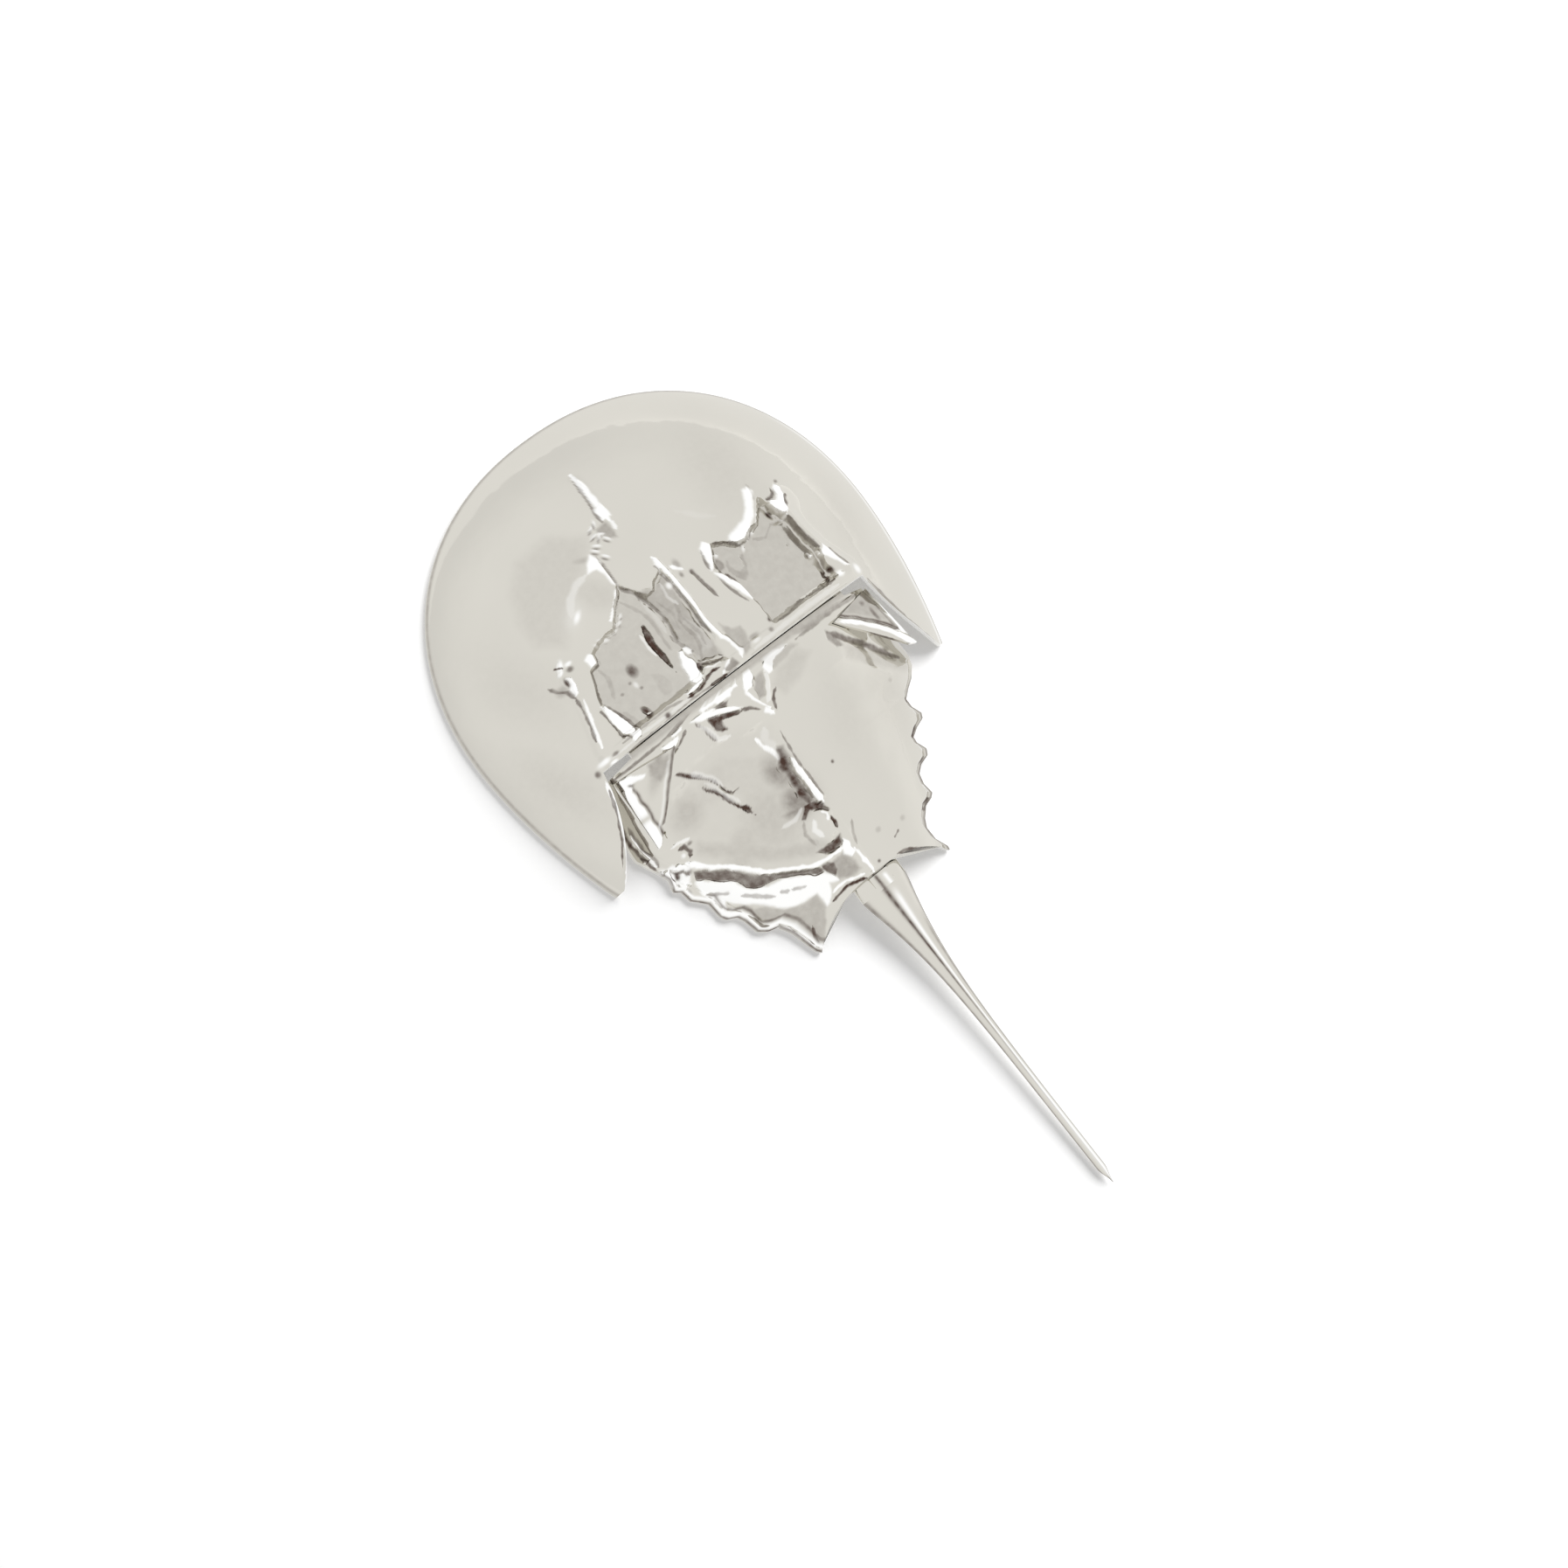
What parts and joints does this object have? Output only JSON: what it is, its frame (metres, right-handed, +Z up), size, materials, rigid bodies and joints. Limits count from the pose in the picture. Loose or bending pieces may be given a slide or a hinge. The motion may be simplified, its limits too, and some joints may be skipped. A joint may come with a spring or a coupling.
{
  "type": "horseshoe crab figure",
  "caption": "Hinged polished metal horseshoe crab figure: hollow domed head shield, toothed abdomen on an axle, and a long tail spike on a two-way swivel.",
  "frame": {"origin": "on the surface that the figure rests on, below the centre of its bounding box", "axes": "+Y from the head to the tail, +Z up, +X to the animal's left"},
  "size_m": [0.0738, 0.1402, 0.0178],
  "materials": {
    "polished_silver": "mirror polish, warm silver",
    "inner_metal": "as cast, lightly brushed",
    "pin_steel": "turned, satin"
  },
  "bodies": {
    "head": {"head_shield": "polished_silver", "leg_plate": "inner_metal", "plate_posts": "inner_metal", "plate_screws": "pin_steel", "left_head_arm": "inner_metal", "right_head_arm": "inner_metal", "hinge_axle": "pin_steel", "left_chelicera": "inner_metal", "right_chelicera": "inner_metal", "chilaria": "inner_metal", "left_leg_1": "inner_metal", "left_leg_2": "inner_metal", "left_leg_3": "inner_metal", "left_leg_4": "inner_metal", "left_leg_5": "inner_metal", "right_leg_1": "inner_metal", "right_leg_2": "inner_metal", "right_leg_3": "inner_metal", "right_leg_4": "inner_metal", "right_leg_5": "inner_metal"},
    "abdomen": {"abdomen_shield": "polished_silver", "left_side_lobe": "polished_silver", "right_side_lobe": "polished_silver", "gill_plate": "inner_metal", "gill_posts": "inner_metal", "gill_screws": "pin_steel", "left_abdomen_arm": "inner_metal", "right_abdomen_arm": "inner_metal", "gill_cover": "inner_metal", "gill_flap_1": "inner_metal", "gill_flap_2": "inner_metal", "gill_flap_3": "inner_metal", "gill_flap_4": "inner_metal", "gill_flap_5": "inner_metal", "tail_bracket": "inner_metal", "swivel_pin": "pin_steel"},
    "tail_swivel": {"swivel_block": "inner_metal"},
    "tail": {"tail_pin": "pin_steel", "tail_fork": "polished_silver", "tail_spike": "polished_silver"}
  },
  "joints": [
    {"name": "abdomen_hinge", "type": "hinge", "parent": "head", "child": "abdomen", "pos_m": [0, -0.02285, 0.0086], "axis": [1, 0, 0], "range_deg": [-28, 10]},
    {"name": "tail_yaw", "type": "hinge", "parent": "abdomen", "child": "tail_swivel", "pos_m": [0, 0.00795, 0.0037], "axis": [0, 0, 1], "range_deg": [-12, 12]},
    {"name": "tail_pitch", "type": "hinge", "parent": "tail_swivel", "child": "tail", "pos_m": [0, 0.01195, 0.0037], "axis": [1, 0, 0], "range_deg": [-12, 20]}
  ]
}
